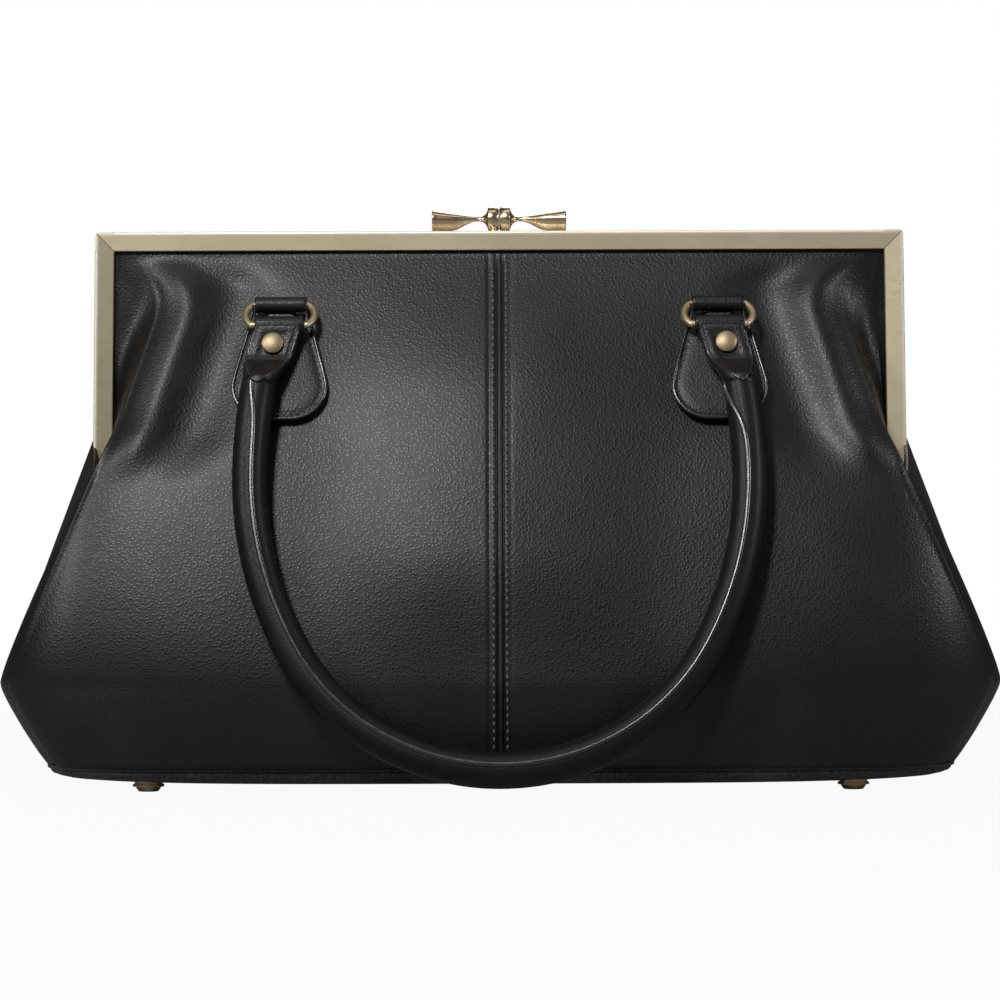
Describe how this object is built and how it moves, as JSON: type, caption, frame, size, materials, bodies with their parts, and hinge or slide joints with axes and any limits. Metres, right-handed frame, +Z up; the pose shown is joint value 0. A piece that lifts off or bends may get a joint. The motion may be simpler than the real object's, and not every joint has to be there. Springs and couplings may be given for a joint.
{
  "type": "frame handbag",
  "caption": "Black leather frame handbag with a bow shaped snap clasp, rolled handles on metal rings and a flat base on studs.",
  "frame": {"origin": "on the ground under the middle of the bag", "axes": "+Z up, +X to the right seen from the front, front towards -Y"},
  "size_m": [0.398, 0.1816, 0.2298],
  "materials": {
    "black_leather": "pebbled, semi-gloss",
    "lining_cloth": "matt woven",
    "fibre_board": "matt",
    "cord_core": "matt",
    "pale_brass": "satin",
    "dark_brass": "antiqued, polished"
  },
  "bodies": {
    "base": {"base_panel": "black_leather", "base_board": "fibre_board", "base_welt": "black_leather", "feet": "dark_brass", "foot_washers": "pale_brass", "lining_tub": "lining_cloth"},
    "hinge": {"hinge_pins": "pale_brass"},
    "front_wall": {"front_panel_left": "black_leather", "front_panel_right": "black_leather", "front_yoke_left": "black_leather", "front_yoke_right": "black_leather", "front_lining": "lining_cloth", "front_board": "fibre_board", "front_chape_left": "black_leather", "front_chape_right": "black_leather"},
    "front_frame": {"front_frame_rail": "pale_brass", "front_clasp_half": "dark_brass", "front_frame_cord": "cord_core"},
    "front_rings": {"front_ring_left": "pale_brass", "front_ring_right": "pale_brass"},
    "front_handle": {"front_handle_cover": "black_leather", "front_handle_core": "cord_core", "front_handle_tab_left": "black_leather", "front_handle_tab_right": "black_leather", "front_handle_rivets": "pale_brass"},
    "back_wall": {"back_panel_left": "black_leather", "back_panel_right": "black_leather", "back_yoke_left": "black_leather", "back_yoke_right": "black_leather", "back_lining": "lining_cloth", "back_board": "fibre_board", "back_chape_left": "black_leather", "back_chape_right": "black_leather"},
    "back_frame": {"back_frame_rail": "pale_brass", "back_clasp_half": "dark_brass", "back_frame_cord": "cord_core"},
    "back_rings": {"back_ring_left": "pale_brass", "back_ring_right": "pale_brass"},
    "back_handle": {"back_handle_cover": "black_leather", "back_handle_core": "cord_core", "back_handle_tab_left": "black_leather", "back_handle_tab_right": "black_leather", "back_handle_rivets": "pale_brass"}
  },
  "joints": [
    {"name": "hinge_rise", "type": "slide", "parent": "base", "child": "hinge", "axis": [0, 0, 1], "range_m": [0, 0.0133]},
    {"name": "front_frame_open", "type": "hinge", "parent": "hinge", "child": "front_frame", "pos_m": [0, 0, 0.12], "axis": [1, 0, 0], "range_deg": [0, 20]},
    {"name": "back_frame_open", "type": "hinge", "parent": "hinge", "child": "back_frame", "pos_m": [0, 0, 0.12], "axis": [-1, 0, 0], "range_deg": [0, 20.2]},
    {"name": "front_wall_lean", "type": "hinge", "parent": "base", "child": "front_wall", "pos_m": [0, -0.057, 0.0092], "axis": [1, 0, 0], "range_deg": [0, 9.08], "deforming": ["front_panel_left", "front_panel_right", "front_yoke_left", "front_yoke_right", "front_lining"]},
    {"name": "front_ring_swing", "type": "hinge", "parent": "front_wall", "child": "front_rings", "pos_m": [0, -0.01853, 0.1899], "axis": [-1, 0, 0], "range_deg": [0, 128]},
    {"name": "front_handle_swing", "type": "hinge", "parent": "front_rings", "child": "front_handle", "pos_m": [0, -0.02812, 0.18157], "axis": [-1, 0, 0], "range_deg": [0, 32]},
    {"name": "back_wall_lean", "type": "hinge", "parent": "base", "child": "back_wall", "pos_m": [0, 0.057, 0.0092], "axis": [-1, 0, 0], "range_deg": [0, 9.08], "deforming": ["back_panel_left", "back_panel_right", "back_yoke_left", "back_yoke_right", "back_lining"]},
    {"name": "back_ring_swing", "type": "hinge", "parent": "back_wall", "child": "back_rings", "pos_m": [0, 0.01853, 0.1899], "axis": [1, 0, 0], "range_deg": [0, 128]},
    {"name": "back_handle_swing", "type": "hinge", "parent": "back_rings", "child": "back_handle", "pos_m": [0, 0.02812, 0.18157], "axis": [1, 0, 0], "range_deg": [0, 32]}
  ],
  "couplings": [
    {"joint": "hinge_rise", "follows": "front_frame_open", "m_per_rad": 0.03697},
    {"joint": "back_frame_open", "follows": "front_frame_open", "ratio": 1},
    {"joint": "front_wall_lean", "follows": "front_frame_open", "ratio": 0.4438},
    {"joint": "back_wall_lean", "follows": "front_frame_open", "ratio": 0.4438}
  ]
}
